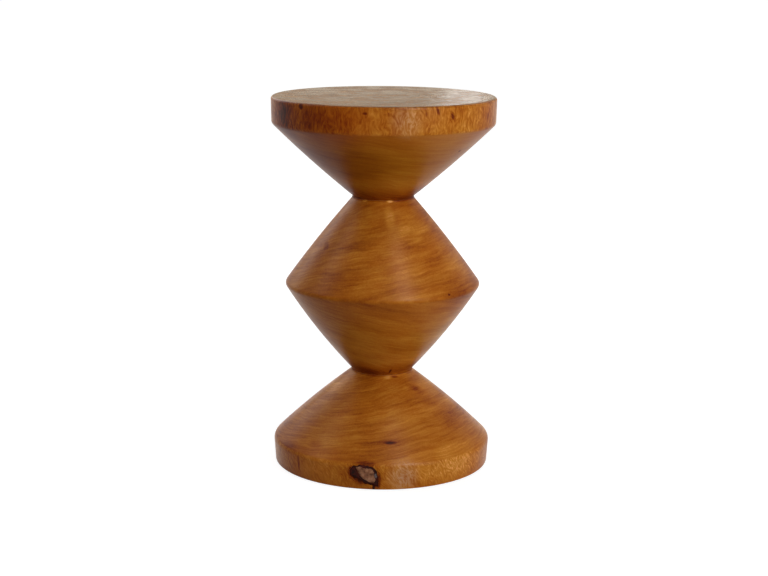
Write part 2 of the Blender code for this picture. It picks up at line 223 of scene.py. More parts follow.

# Marks in the wood, with painted shade and painted highlights among them: azimuth in degrees, radius and
# height of the middle in mm, half sizes across and up in mm, lean in degrees, and how much darker the
# middle is (below 0, paler)
MARKS_AND_PAINTED_LIGHT = [
    # Seat rim: dark on the left, paler right of the middle, a little darker again at the far right
    (-62.0, 130.0, 434.0, 36.0, 34.0, 0.0, 0.34),
    (-56.0, 134.0, 434.0, 16.0, 30.0, 0.0, 0.10),
    (-38.0, 134.0, 434.0, 34.0, 30.0, 0.0, 0.18),
    (-20.0, 134.0, 434.0, 36.0, 30.0, 0.0, 0.14),
    (11.0, 135.0, 436.0, 26.0, 22.0, 0.0, -0.10),
    (40.0, 134.0, 434.0, 40.0, 30.0, 0.0, -0.07),
    (60.0, 134.0, 434.0, 26.0, 30.0, 0.0, 0.08),
    # Pin knots and nicks in the seat rim
    (-44.3, 135.0, 446.0, 4.4, 4.2, 0.0, 0.32),
    (-9.0, 135.0, 442.0, 3.0, 1.8, 0.0, 0.26),
    (26.8, 135.0, 444.5, 2.2, 6.5, -20.0, 0.30),
    (35.5, 134.5, 436.9, 2.2, 6.0, -25.0, 0.26),
    # Seat cone: darker on the left, and a pin knot
    (-55.0, 80.0, 385.0, 85.0, 66.0, 0.0, 0.19),
    (0.0, 0.0, 380.0, 300.0, 60.0, 0.0, -0.02),
    (55.8, 106.4, 392.0, 2.6, 2.2, 0.0, 0.28),
    # Upper waist: painted shade above the joint, under the seat's overhang; a painted highlight along the
    # lip below it, with two painted glints
    (0.0, 0.0, 333.0, 90.0, 17.0, 0.0, 0.33),
    (0.0, 0.0, 326.2, 90.0, 3.0, 0.0, -0.16),
    (13.0, 38.0, 328.2, 5.0, 1.5, 0.0, -0.36),
    (-35.0, 38.0, 328.2, 4.0, 1.5, 0.0, -0.26),
    # Middle block above the ridge: broad darker and paler patches, and three painted highlights
    (0.0, 0.0, 266.0, 300.0, 44.0, 0.0, 0.035),
    (-56.6, 79.5, 275.1, 8.0, 5.0, 30.0, 0.16),
    (-54.0, 88.0, 265.0, 26.0, 36.0, 0.0, 0.05),
    # Painted highlight: a pale strip just above the ridge, where the window's glint lies
    (8.0, 116.0, 228.0, 48.0, 8.0, 0.0, -0.09),
    # Painted highlight: a pale streak under the neck, along the window's highlight
    (9.5, 50.0, 309.0, 7.0, 20.0, 0.0, -0.16),
    (12.0, 92.0, 257.0, 30.0, 17.0, 0.0, 0.06),
    # Painted highlight: paler along the window's highlight band
    (14.0, 85.0, 262.0, 22.0, 44.0, 0.0, -0.05),
    (30.0, 62.0, 295.0, 36.0, 17.0, 0.0, -0.13),
    (33.0, 73.0, 283.0, 15.0, 8.0, 10.0, -0.12),
    (38.0, 88.0, 268.0, 26.0, 40.0, 0.0, 0.07),
    (41.8, 117.0, 226.1, 1.8, 1.4, 0.0, 0.28),
    (62.0, 95.0, 262.0, 28.0, 44.0, 0.0, -0.07),
    (62.0, 113.0, 232.0, 20.0, 10.0, 0.0, -0.08),
    (70.0, 103.0, 243.0, 18.0, 10.0, 0.0, -0.10),
    # Middle block below the ridge
    (0.0, 0.0, 170.0, 300.0, 52.0, 0.0, -0.07),
    (60.0, 85.0, 170.0, 60.0, 50.0, 0.0, -0.03),
    # Lower waist: painted shade above the joint, darker still on the left; a painted highlight along the
    # lip below it, with a painted glint; and two cracks
    (0.0, 0.0, 120.0, 90.0, 15.0, 0.0, 0.29),
    (0.0, 0.0, 112.2, 90.0, 3.0, 0.0, -0.14),
    (-40.0, 40.0, 119.0, 30.0, 9.0, 0.0, 0.08),
    (10.0, 39.0, 112.4, 6.0, 3.0, 0.0, -0.16),
    (14.0, 42.0, 119.5, 1.5, 4.6, 12.0, 0.34),
    (22.9, 38.5, 112.4, 5.5, 1.4, 0.0, 0.24),
    # Base cone: a little paler all over, with stains and one short dark dash near the middle
    (0.0, 0.0, 75.0, 300.0, 50.0, 0.0, -0.05),
    (-41.2, 118.0, 44.5, 13.0, 7.0, 8.0, 0.14),
    (5.4, 109.9, 51.7, 8.5, 1.7, 0.0, 0.30),
    (5.4, 109.9, 51.7, 20.0, 5.0, 0.0, 0.10),
    (46.1, 56.2, 99.7, 12.0, 5.0, 20.0, 0.20),
    (62.0, 104.0, 56.0, 40.0, 30.0, 0.0, 0.07),
    # Base rim: paler on both sides, and a crack on the left
    (-36.0, 132.0, 18.0, 44.0, 26.0, 0.0, -0.15),
    (10.8, 132.0, 20.0, 15.0, 20.0, 0.0, -0.06),
    (41.0, 132.0, 20.0, 46.0, 24.0, 0.0, -0.18),
    (-48.1, 131.9, 20.5, 2.2, 11.0, -4.0, 0.24),
    (-13.8, 132.0, 22.5, 8.0, 8.5, 0.0, 0.42),
    (-11.8, 132.0, 12.0, 10.0, 5.5, 25.0, 0.36),
    (-8.0, 132.0, 31.0, 15.0, 4.5, 0.0, 0.26),
    (-3.5, 132.0, 4.0, 2.0, 9.0, 0.0, 0.45),
    (-1.5, 132.0, 13.0, 4.5, 13.0, 0.0, 0.30),
]

# Hues as rows like those above, with their share in the middle: a grey painted sheen where a window's
# reflection falls on both rims, ruddy and calmer on the left of both rims, olive painted shade under the
# overhangs, amber on the right of both rims
PAINTED_SHEEN = [(11.5, 132.0, 17.0, 20.0, 22.0, 0.0, 0.62), (11.0, 135.0, 434.0, 20.0, 24.0, 0.0, 0.40)]
RUDDY = [(-24.0, 134.0, 434.0, 78.0, 40.0, 0.0, 0.85), (-40.0, 132.0, 18.0, 60.0, 30.0, 0.0, 0.75)]
# Olive: a tint painted as shade on the undersides of the seat cone and the middle block
OLIVE_SHADE = [(0.0, 0.0, 380.0, 300.0, 50.0, 0.0, 0.80), (60.0, 85.0, 170.0, 60.0, 50.0, 0.0, 0.60)]
AMBER = [(55.0, 132.0, 18.0, 60.0, 30.0, 0.0, 0.50), (64.0, 134.0, 434.0, 30.0, 30.0, 0.0, 0.40)]
TINTS = {"ruddy": ("#FFDFB8", RUDDY), "olive": ("#F0FFDC", OLIVE_SHADE), "amber": ("#FFE4B0", AMBER)}

# The share of its curls' contrast that ruddy wood keeps, and how the grey painted sheen is strongest in the
# pale
# fibres: two limits of the fibres, and the share of grey at each
RUDDY_CALM = 0.55
SHEEN_BY_FIBRE = (0.40, 0.60, 0.25, 1.00)

# Lamps: name, azimuth from the camera's side towards +X and elevation in degrees, distance in metres,
# width and height in metres, watts, whether it lights the stool, and whether the polish shows it
LAMPS = [
    ("right window", 48, 15, 2.2, (1.1, 1.1), 13.4, True, False),
    ("low right window", 46, 5, 2.2, (0.7, 0.7), 11.0, True, False),
    ("small pane", 46, 5, 2.2, (0.2, 0.2), 1.0, False, True),
    ("tall window", 37, 52, 2.2, (0.34, 2.0), 23.0, False, True),
    ("ridge window", 33, 36, 2.2, (0.34, 0.8), 33.0, False, True),
    ("left panel", -93, 45, 2.2, (0.75, 0.75), 5.5, True, True),
    ("left pane", -93, 38, 2.2, (0.28, 0.3), 1.5, False, True),
    ("back left panel", -145, 27, 2.2, (1.4, 1.2), 9.0, True, True),
    ("back right panel", 145, 27, 2.2, (1.2, 1.2), 4.0, True, False),
    ("far window", 174.06, 14.5, 2.077, (0.11, 0.5), 0.165, False, True),
    ("ceiling light", 38, 60, 2.2, (0.14, 0.14), 3.0, True, False),
    ("front softbox", 8, 28, 2.2, (0.7, 0.7), 8.2, True, False),
    ("left window", -92, 14, 2.2, (0.7, 0.7), 3.5, True, False),
    ("back softbox", 180, 30, 2.8, (3.2, 1.6), 20.0, True, False),
]
LAMPS_FACE = (0, 0, 0.26)
LAMP_COLOUR = "#FFFFFF"
FILL_STRENGTH = 0.05

# The floor, a hair below the felt: its colours, and how its white fades towards the stool, in metres
FLOOR_SIZE = 60.0
FLOOR_Z = -0.0002
FLOOR_COLOUR = "#B4B4B4"
FLOOR_SHADED = "#959595"
FLOOR_ROUGHNESS = 0.9
FLOOR_NEAR, FLOOR_FAR = 0.3, 1.6
FLOOR_NEAR_WHITE = 0.88

# A dim wall far behind the stool, in metres
WALL_Y = 2.82
WALL_LOW, WALL_HIGH = 0.3, 1.5
WALL_WIDTH = 3.2
WALL_COLOUR = "#F5E6CF"
WALL_STRENGTH = 0.76

# The photograph's camera: sizes in pixels, place in metres, turns in degrees
PHOTO_WIDTH = 768
FOCAL_PIXELS = 1649.8
SHIFT_PIXELS = 1.57
SENSOR_WIDTH = 36.0
CAMERA_PLACE = (0, -1.9743, 0.6349)
CAMERA_DIP = 12.0
CAMERA_ROLL = 0.464


def linear(code):
    """An sRGB hex colour as linear RGBA."""
    parts = [int(code[start:start + 2], 16) / 255 for start in (1, 3, 5)]
    return (*(c / 12.92 if c <= 0.04045 else ((c + 0.055) / 1.055) ** 2.4 for c in parts), 1.0)


def add(tree, kind, links=None, stops=(), **settings):
    """One node with its settings. links gives inputs, by name or number, a value or another node's
    output, and stops gives a ramp its positions, in rising order, and hex colours."""
    node = tree.nodes.new(kind)
    for name, value in settings.items():
        setattr(node, name, value)
    for socket, source in (links or {}).items():
        if isinstance(source, bpy.types.NodeSocket):
            tree.links.new(source, node.inputs[socket])
        else:
            node.inputs[socket].default_value = source
    for index, (position, code) in enumerate(stops):
        elements = node.color_ramp.elements
        element = elements[index] if index < len(elements) else elements.new(position)
        element.position = position
        element.color = linear(code)
    return node


def empty_material(name):
    """A material with only a Principled shader in it. Returns the material, its tree and the shader."""
    made = bpy.data.materials.new(name)
    made.use_nodes = True
    tree = made.node_tree
    return made, tree, tree.nodes["Principled BSDF"]


def linked(obj):
    bpy.context.scene.collection.objects.link(obj)
    return obj


def summed(tree, *vectors):
    total = vectors[0]
    for vector in vectors[1:]:
        total = add(tree, "ShaderNodeVectorMath", {0: total, 1: vector}, operation="ADD").outputs[0]
    return total


def bends(tree, place, size, shift, squeeze, detail):
    """How far bends of that size push each place about: up to half of shift either way."""
    along = add(tree, "ShaderNodeMapping", {"Vector": place, "Scale": (1.0, 1.0, squeeze)})
    push = add(
        tree, "ShaderNodeTexNoise",
        {"Vector": along.outputs[0], "Scale": 1 / (size * MM), "Detail": detail,
         "Roughness": BEND_ROUGHNESS},
    )
    return add(
        tree, "ShaderNodeVectorMath",
        {0: push.outputs["Color"], 1: (shift * MM,) * 3, 2: (-shift * MM / 2,) * 3},
        operation="MULTIPLY_ADD",
    ).outputs[0]


def graded(tree, height, changes):
    """The product of some changes with height."""
    total = None
    for low, high, below, above in changes:
        share = add(
            tree, "ShaderNodeMapRange",
            {"Value": height, "From Min": low, "From Max": high, "To Min": below, "To Max": above},
        ).outputs[0]
        if total is not None:
            share = add(tree, "ShaderNodeMath", {0: total, 1: share}, operation="MULTIPLY").outputs[0]
        total = share
    return total


def weighed(tree, start, patterns, weights):
    """start plus each weighed pattern's distance from one half, times its weight."""
    total = start - sum(weights.values()) / 2
    for name, weight in weights.items():
        total = add(
            tree, "ShaderNodeMath", {0: patterns[name], 1: weight, 2: total}, operation="MULTIPLY_ADD"
        ).outputs[0]
    return total


def mark(tree, place, azimuth, radius, height, across, up, lean, strength):
    """A soft spot: its strength in the middle, nothing outside."""
    turn = math.radians(azimuth)
    middle = Vector((radius * math.sin(turn), -radius * math.cos(turn), height)) * MM
    inside = add(
        tree, "ShaderNodeMapping",
        {"Vector": place, "Location": middle, "Rotation": (0.0, math.radians(lean), turn),
         "Scale": Vector((across, max(across, up), up)) * MM},
        vector_type="TEXTURE",
    )
    far = add(tree, "ShaderNodeVectorMath", {0: inside.outputs[0]}, operation="LENGTH")
    core = MARK_CORE if across < SOFT_MARK else 0.0
    return add(
        tree, "ShaderNodeMapRange",
        {"Value": far.outputs["Value"], "From Min": core, "From Max": MARK_EDGE,
         "To Min": strength, "To Max": 0.0},
        interpolation_type="SMOOTHSTEP",
    ).outputs[0]


def marked(tree, place, value, rows, operation):
    """A value with each row's mark added to it or taken off it."""
    for row in rows:
        spot = mark(tree, place, *row)
        value = add(tree, "ShaderNodeMath", {0: value, 1: spot}, operation=operation).outputs[0]
    return value


def log_places(tree):
    """Where a point lies in the log: as it is, pushed about by the log's bends, and its height and
    distance from the turning axis."""
    place = add(tree, "ShaderNodeTexCoord").outputs["Object"]
    height = add(tree, "ShaderNodeSeparateXYZ", {0: place}).outputs["Z"]
    flat = add(tree, "ShaderNodeMapping", {"Vector": place, "Scale": (1.0, 1.0, 0.0)}).outputs[0]
    from_axis = add(tree, "ShaderNodeVectorMath", {0: flat}, operation="LENGTH").outputs["Value"]
    wavy = summed(tree, place, bends(tree, place, *CURL))
    swayed = summed(tree, wavy, bends(tree, place, *SWAY))
    curled = summed(tree, place, bends(tree, place, *SWIRL))
    leaning = add(
        tree, "ShaderNodeVectorRotate",
        {"Vector": curled, "Angle": graded(tree, height, [TWISTED_BASE_FIBRES])}, rotation_type="Z_AXIS",
    ).outputs[0]
    combed = add(
        tree, "ShaderNodeVectorMath",
        {0: leaning, "Scale": graded(tree, height, [FINER_BASE_FIBRES])}, operation="SCALE",
    ).outputs[0]
    return SimpleNamespace(
        place=place, height=height, from_axis=from_axis,
        wavy=wavy, swayed=swayed, curled=curled, combed=combed,
    )


def log_patterns(tree, log):
    """The patterns that the figure is mixed from, each about one half on average, and the tints' shares."""
    from_pith = add(
        tree, "ShaderNodeMapping",
        {"Vector": log.swayed, "Location": (-PITH[0], -PITH[1], 0.0), "Scale": (1.0, 1.0, 0.0)},
    ).outputs[0]
    distance = add(tree, "ShaderNodeVectorMath", {0: from_pith}, operation="LENGTH").outputs["Value"]
    outward = add(tree, "ShaderNodeVectorMath", {0: from_pith}, operation="NORMALIZE").outputs[0]
    upward = add(tree, "ShaderNodeMapping", {"Vector": log.swayed, "Scale": (0.0, 0.0, 1.0)}).outputs[0]
    around = summed(tree, outward, upward)
    patterns = {}
    for name, (width, arc, length, detail) in RING_LINES.items():
        scale = (1 / arc, 1 / arc, 1 / (length * MM))
        along = add(tree, "ShaderNodeMapping", {"Vector": around, "Scale": scale})
        across = add(tree, "ShaderNodeMath", {0: distance, 1: 1 / (width * MM)}, operation="MULTIPLY")
        patterns[name] = add(
            tree, "ShaderNodeTexNoise",
            {"Vector": along.outputs[0], "W": across.outputs[0], "Scale": 1.0, "Detail": detail,
             "Roughness": RING_ROUGHNESS},
            noise_dimensions="4D",
        ).outputs["Fac"]
    for name, (where, width, length, detail, roughness) in GRAINS.items():
        scale = (1 / (width * MM), 1 / (width * MM), 1 / (length * MM))
        grain = add(tree, "ShaderNodeMapping", {"Vector": getattr(log, where), "Scale": scale})
        patterns[name] = add(
            tree, "ShaderNodeTexNoise",
            {"Vector": grain.outputs[0], "Scale": 1.0, "Detail": detail, "Roughness": roughness},
        ).outputs["Fac"]
    for name, (_, rows) in TINTS.items():
        patterns[name] = marked(tree, log.wavy, 0.0, rows, "ADD")
    return patterns


def side_tone(tree, log, patterns):
    """How pale the turned sides are: streaky inner wood, curly outer wood on the rims, and marks, some of
    them painted shade and painted highlights.
    """
    figure = weighed(tree, 0.0, patterns, INNER_FIGURE)
    contrast = graded(tree, log.height, [LIVELIER_ABOVE_RIDGE, PLAINER_SEAT, BOLDER_BASE])
    heart = add(
        tree, "ShaderNodeMapRange",
        {"Value": log.from_axis, "From Min": HEART_FROM, "From Max": HEART_TO,
         "To Min": HEART_TONE, "To Max": SIDE_TONE},
        interpolation_type="SMOOTHSTEP",
    ).outputs[0]
    inner = add(tree, "ShaderNodeMath", {0: figure, 1: contrast, 2: heart}, operation="MULTIPLY_ADD")

    curls = weighed(tree, 0.0, patterns, OUTER_FIGURE)
    calm = add(
        tree, "ShaderNodeMapRange", {"Value": patterns["ruddy"], "To Min": 1.0, "To Max": RUDDY_CALM}
    ).outputs[0]
    steady = graded(tree, log.height, [CALMER_BASE_FIBRES])
    lively = add(tree, "ShaderNodeMath", {0: steady, 1: calm}, operation="MULTIPLY").outputs[0]
    outer = add(tree, "ShaderNodeMath", {0: curls, 1: lively, 2: OUTER_TONE}, operation="MULTIPLY_ADD")

    later = graded(tree, log.height, [LATER_SEAT_CURLS])
    depth = add(tree, "ShaderNodeMath", {0: log.from_axis, 1: later}, operation="ADD").outputs[0]
    curly = add(
        tree, "ShaderNodeMapRange", {"Value": depth, "From Min": CURLY_FROM, "From Max": CURLY_TO},
        interpolation_type="SMOOTHSTEP",
    ).outputs[0]
    tone = add(
        tree, "ShaderNodeMix", {"Factor": curly, 2: inner.outputs[0], 3: outer.outputs[0]},
        data_type="FLOAT",
    ).outputs[0]
    return marked(tree, log.wavy, tone, MARKS_AND_PAINTED_LIGHT, "SUBTRACT")


def side_colour(tree, log, patterns, tone):
    """The colour of the turned sides: amber in the bands, each tint in its places, the olive one painted
    shade, and a grey painted sheen on both rims.
    """
    plain = add(tree, "ShaderNodeValToRGB", {"Fac": tone}, stops=WOOD_STOPS).outputs["Color"]
    colour = add(
        tree, "ShaderNodeMix", {"Factor": patterns["bands"], 6: plain, 7: linear(BAND_TINT)},
        data_type="RGBA", blend_type="MULTIPLY",
    ).outputs[2]
    for name, (code, _) in TINTS.items():
        colour = add(
            tree, "ShaderNodeMix", {"Factor": patterns[name], 6: colour, 7: linear(code)},
            data_type="RGBA", blend_type="MULTIPLY",
        ).outputs[2]
    # A grey painted sheen, the reflection of a window on both rims, strongest in the pale fibres
    low, high, least, most = SHEEN_BY_FIBRE
    pale_fibre_sheen = add(
        tree, "ShaderNodeMapRange",
        {"Value": patterns["fibres"], "From Min": low, "From Max": high, "To Min": least, "To Max": most},
    ).outputs[0]
    sheen_patches = marked(tree, log.wavy, 0.0, PAINTED_SHEEN, "ADD")
    sheen_share = add(tree, "ShaderNodeMath", {0: sheen_patches, 1: pale_fibre_sheen}, operation="MULTIPLY").outputs[0]
    return add(
        tree, "ShaderNodeMix", {"Factor": sheen_share, 6: colour, 7: linear(SHEEN_GREY)}, data_type="RGBA",
    ).outputs[2]


# Hardwood turned across its whole log and rubbed with oil. The eye sees fine near-level streaks where
# the cones cross the rings, curly paler outer wood on the rims, browner end grain with rings on the
# seat, and a soft shine that only just mirrors the windows. Its colour also holds painted shade at the
# waists and under the overhangs, painted highlights on the waists' lips and the middle block, and a
# grey painted sheen on both rims
def turned_hardwood():
    made, tree, shader = empty_material("oiled hardwood, turned from the log")
    log = log_places(tree)
    patterns = log_patterns(tree, log)
    on_top = graded(tree, log.height, [TOP_FACE])

    tone = side_tone(tree, log, patterns)
    sides = side_colour(tree, log, patterns, tone)
    end_tone = weighed(tree, END_TONE, patterns, END_FIGURE)
    end_grain = add(tree, "ShaderNodeValToRGB", {"Fac": end_tone}, stops=END_STOPS).outputs["Color"]
    colour = add(tree, "ShaderNodeMix", {"Factor": on_top, 6: sides, 7: end_grain}, data_type="RGBA")
    tree.links.new(colour.outputs[2], shader.inputs["Base Color"])

    shine = []
    for value, (low, high, at_low, at_high) in ((tone, SIDE_GLOSS), (patterns["stains"], TOP_GLOSS)):
        shine.append(add(
            tree, "ShaderNodeMapRange",
            {"Value": value, "From Min": low, "From Max": high, "To Min": at_low, "To Max": at_high},
        ).outputs[0])
    gloss = add(tree, "ShaderNodeMix", {"Factor": on_top, 2: shine[0], 3: shine[1]}, data_type="FLOAT")
    tree.links.new(gloss.outputs[0], shader.inputs["Roughness"])

    end_relief = weighed(tree, 0.0, patterns, END_RELIEF)
    grain = add(
        tree, "ShaderNodeMix", {"Factor": on_top, 2: patterns["fibres"], 3: end_relief}, data_type="FLOAT",
    ).outputs[0]
    strength, depth = OIL_RELIEF
    relief = add(tree, "ShaderNodeBump", {"Height": grain, "Strength": strength, "Distance": depth})
    tree.links.new(relief.outputs[0], shader.inputs["Normal"])
    shader.inputs["IOR"].default_value = OIL_IOR
    return made


def mottled(name, size, stops, relief, finish, **grain):
    """A mottled material. size is its grain in mm along each axis, relief the bump's strength and its
    depth in metres, finish the shader's own numbers, and grain those of the noise."""
    made, tree, shader = empty_material(name)
    place = add(tree, "ShaderNodeTexCoord").outputs["Object"]
    scale = tuple(1 / (part * MM) for part in size)
    along = add(tree, "ShaderNodeMapping", {"Vector": place, "Scale": scale})
    mottle = add(
        tree, "ShaderNodeTexNoise", {"Vector": along.outputs[0], "Scale": 1.0, **grain}
    ).outputs["Fac"]
    colour = add(tree, "ShaderNodeValToRGB", {"Fac": mottle}, stops=stops)
    tree.links.new(colour.outputs["Color"], shader.inputs["Base Color"])
    if relief:
        strength, depth = relief
        bump = add(tree, "ShaderNodeBump", {"Height": mottle, "Strength": strength, "Distance": depth})
        tree.links.new(bump.outputs[0], shader.inputs["Normal"])
    for socket, value in finish.items():
        shader.inputs[socket].default_value = value
    return made


# The end of a branch under the same oil: patchy pinkish brown, duller than the wood round it
def knot_heartwood():
    return mottled(
        "knot heartwood, oiled end grain", (6.0, 6.0, 6.0),
        [(0.30, "#48220F"), (0.46, "#835438"), (0.66, "#A67556")], (0.5, 0.0005),
        {"Roughness": 0.42, "IOR": 1.30}, Detail=3.0,
    )


# Pitch with bark in it, worn flush: nearly black with a red cast, and hardly any shine
def bark_resin():
    return mottled(
        "dark pitch and bark, dull", (4.0, 4.0, 4.0),
        [(0.35, "#180805"), (0.65, "#46160B")], (0.4, 0.0005),
        {"Roughness": 0.50, "IOR": 1.18}, Detail=3.0,
    )


# A clear lump in the pitch, polished with the rim: dark, with one small sparkle of a window
def resin_drop():
    return mottled(
        "clear dark resin, polished", (2.0, 2.0, 2.0),
        [(0.35, "#1C0906"), (0.65, "#4A2012")], None,
        {"Roughness": 0.14, "IOR": 1.60}, Detail=2.0,
    )


# Pressed wool: matt, with a faint bloom at its edges. Its fibres are drawn coarse enough to show
def pressed_felt():
    return mottled(
        "pressed wool felt", (1.2, 1.2, 1.2),
        [(0.3, "#2E251E"), (0.7, "#6A5A4B")], (0.8, 0.0004),
        {"Roughness": 0.95, "Sheen Weight": 0.4}, Detail=4.0, Distortion=1.5,
    )


# Bare beech: pale and matt, with short flecks along the dowel. It is hidden inside the blocks
def bare_dowel():
    return mottled(
        "bare beech dowel", (1.0, 1.0, 12.0),
        [(0.3, "#A87C4E"), (0.7, "#D0AB7C")], (0.4, 0.0002),
        {"Roughness": 0.65}, Detail=2.0,
    )


def node_group(name, inputs, output):
    """An empty Geometry Nodes tree with named inputs, and the outputs of its input node."""
    tree = bpy.data.node_groups.new(name, "GeometryNodeTree")
    for label, kind in inputs:
        tree.interface.new_socket(label, in_out="INPUT", socket_type=kind)
    tree.interface.new_socket(output, in_out="OUTPUT", socket_type="NodeSocketGeometry")
    return tree, add(tree, "NodeGroupInput").outputs


def finish_group(tree, geometry, finish):
    real = add(tree, "GeometryNodeRealizeInstances", {"Geometry": geometry})
    finished = add(tree, "GeometryNodeSetMaterial", {"Geometry": real.outputs[0], "Material": finish})
    add(tree, "NodeGroupOutput", {0: finished.outputs[0]})
    return tree


def lathe_tree():
    """Geometry Nodes that round the corners of a flat profile, as its round attribute says, and turn it."""
    tree, given = node_group("turned on the lathe", (
        ("Profile", "NodeSocketGeometry"),
        ("Steps around", "NodeSocketInt"),
        ("Pieces per round", "NodeSocketInt"),
        ("Rail radius", "NodeSocketFloat"),
        ("Finish", "NodeSocketMaterial"),
    ), "Block")
    line = add(tree, "GeometryNodeMeshToCurve", {"Mesh": given["Profile"]})
    size = add(tree, "GeometryNodeInputNamedAttribute", {"Name": "round"}, data_type="FLOAT")
    eased = add(
        tree, "GeometryNodeFilletCurve",
        {"Curve": line.outputs[0], "Count": given["Pieces per round"],
         "Radius": size.outputs["Attribute"], "Limit Radius": True},
        mode="POLY",
    )
    rail = add(
        tree, "GeometryNodeCurvePrimitiveCircle",
        {"Resolution": given["Steps around"], "Radius": given["Rail radius"]}, mode="RADIUS",
    )
    swept = add(
        tree, "GeometryNodeCurveToMesh",
        {"Curve": rail.outputs["Curve"], "Profile Curve": eased.outputs[0]},
    )
    closed = add(
        tree, "GeometryNodeMergeByDistance", {"Geometry": swept.outputs[0], "Distance": MERGE_DISTANCE}
    )
    return finish_group(tree, closed.outputs[0], given["Finish"])


def ring_tree():
    """Geometry Nodes that set copies of a piece at even steps round the turning axis."""
    tree, given = node_group("set round a ring", (
        ("Piece", "NodeSocketGeometry"),
        ("Count", "NodeSocketInt"),
        ("Ring radius", "NodeSocketFloat"),
        ("First turn", "NodeSocketFloat"),
        ("Finish", "NodeSocketMaterial"),
    ), "Ring")
    ring = add(
        tree, "GeometryNodeMeshCircle", {"Vertices": given["Count"], "Radius": given["Ring radius"]}
    )
    turn = add(tree, "ShaderNodeCombineXYZ", {"Z": given["First turn"]})
    spread = add(
        tree, "GeometryNodeTransform", {"Geometry": ring.outputs[0], "Rotation": turn.outputs[0]}
    )
    copies = add(
        tree, "GeometryNodeInstanceOnPoints", {"Points": spread.outputs[0], "Instance": given["Piece"]}
    )
    return finish_group(tree, copies.outputs[0], given["Finish"])


def baked(obj):
    """Replaces an object's modifiers by the plain mesh that they make."""
    graph = bpy.context.evaluated_depsgraph_get()
    mesh = bpy.data.meshes.new_from_object(obj.evaluated_get(graph))
    obj.modifiers.clear()
    obj.data = mesh
    return mesh


def grow(obj, tree, sizes):
    """Runs a Geometry Nodes tree on an object with its inputs set, and keeps the mesh that comes out."""
    modifier = obj.modifiers.new(tree.name, "NODES")
    modifier.node_group = tree
    for item in tree.interface.items_tree:
        if item.in_out == "INPUT" and item.name in sizes:
            modifier[item.identifier] = sizes[item.name]
    return baked(obj)


def shade(mesh, degrees):
    """Turns all faces outward and smooths them, but for edges that bend by more than that angle."""
    bm = bmesh.new()
    bm.from_mesh(mesh)
    bmesh.ops.recalc_face_normals(bm, faces=bm.faces[:])
    bm.to_mesh(mesh)
    bm.free()
    mesh.shade_smooth()
    mesh.set_sharp_from_angle(angle=math.radians(degrees))


def turned(name, corners, lathe, finish, steps=STEPS_AROUND):
    """A block turned from (radius, height, round) corners."""
    profile = bpy.data.meshes.new(name)
    profile.from_pydata(
        [(radius - RAIL_RADIUS, -height, 0) for radius, height, _ in corners],
        [(index, index + 1) for index in range(len(corners) - 1)], [],
    )
    rounds = profile.attributes.new("round", "FLOAT", "POINT")
    rounds.data.foreach_set("value", [size for _, _, size in corners])
    obj = linked(bpy.data.objects.new(name, profile))
    mesh = grow(obj, lathe, {
        "Steps around": steps,
        "Pieces per round": ROUND_PIECES,
        "Rail radius": RAIL_RADIUS,
        "Finish": finish,
    })
    shade(mesh, TURNED_SHARP)
    return obj


def bowed(start, end, bow):
    """Corners between start and end on a shallow curve that stands bow to its left, half-way along."""
    along_r, along_z = end[0] - start[0], end[1] - start[1]
    length = math.hypot(along_r, along_z)
    points = []
    for step in range(1, CONE_POINTS):
        share = step / CONE_POINTS
        lift = 4 * bow * share * (1 - share) / length
        radius = start[0] + along_r * share - along_z * lift
        height = start[1] + along_z * share + along_r * lift
        points.append((radius, height, 0))
    return points


def seat_corners():
    face = UPPER_JOINT_Z + SEAM_GAP / 2
    edge = (SEAT_LOWER_DIAMETER / 2, SEAT_EDGE_Z)
    neck = (UPPER_WAIST_DIAMETER / 2, UPPER_JOINT_Z + NECK_HEIGHT)
    return [
        (0, SEAT_Z, 0),
        (SEAT_DIAMETER / 2, SEAT_Z, SEAT_EDGE_ROUND),
        (*edge, SEAT_LOWER_ROUND),
        *bowed(edge, neck, SEAT_CONE_BOW),
        (*neck, WAIST_ROUND),
        (neck[0], face, ARRIS_ROUND),
        (BORE_RADIUS, face, 0),
        (BORE_RADIUS, face + BORE_DEPTH, 0),
        (0, face + BORE_DEPTH, 0),
    ]


def middle_corners():
    top = UPPER_JOINT_Z - SEAM_GAP / 2
    bottom = LOWER_JOINT_Z + SEAM_GAP / 2
    upper_neck = (UPPER_WAIST_DIAMETER / 2 + WAIST_LIP, UPPER_JOINT_Z - NECK_HEIGHT)
    ridge = (RIDGE_DIAMETER / 2, RIDGE_Z)
    lower_neck = (LOWER_WAIST_DIAMETER / 2, LOWER_JOINT_Z + NECK_HEIGHT)
    return [
        (0, top - BORE_DEPTH, 0),
        (BORE_RADIUS, top - BORE_DEPTH, 0),
        (BORE_RADIUS, top, 0),
        (upper_neck[0], top, LIP_ROUND),
        (*upper_neck, WAIST_ROUND),
        *bowed(upper_neck, ridge, MIDDLE_UPPER_BOW),
        (*ridge, RIDGE_ROUND),
        *bowed(ridge, lower_neck, MIDDLE_LOWER_BOW),
        (*lower_neck, WAIST_ROUND),
        (lower_neck[0], bottom, ARRIS_ROUND),
        (BORE_RADIUS, bottom, 0),
        (BORE_RADIUS, bottom + BORE_DEPTH, 0),
        (0, bottom + BORE_DEPTH, 0),
    ]


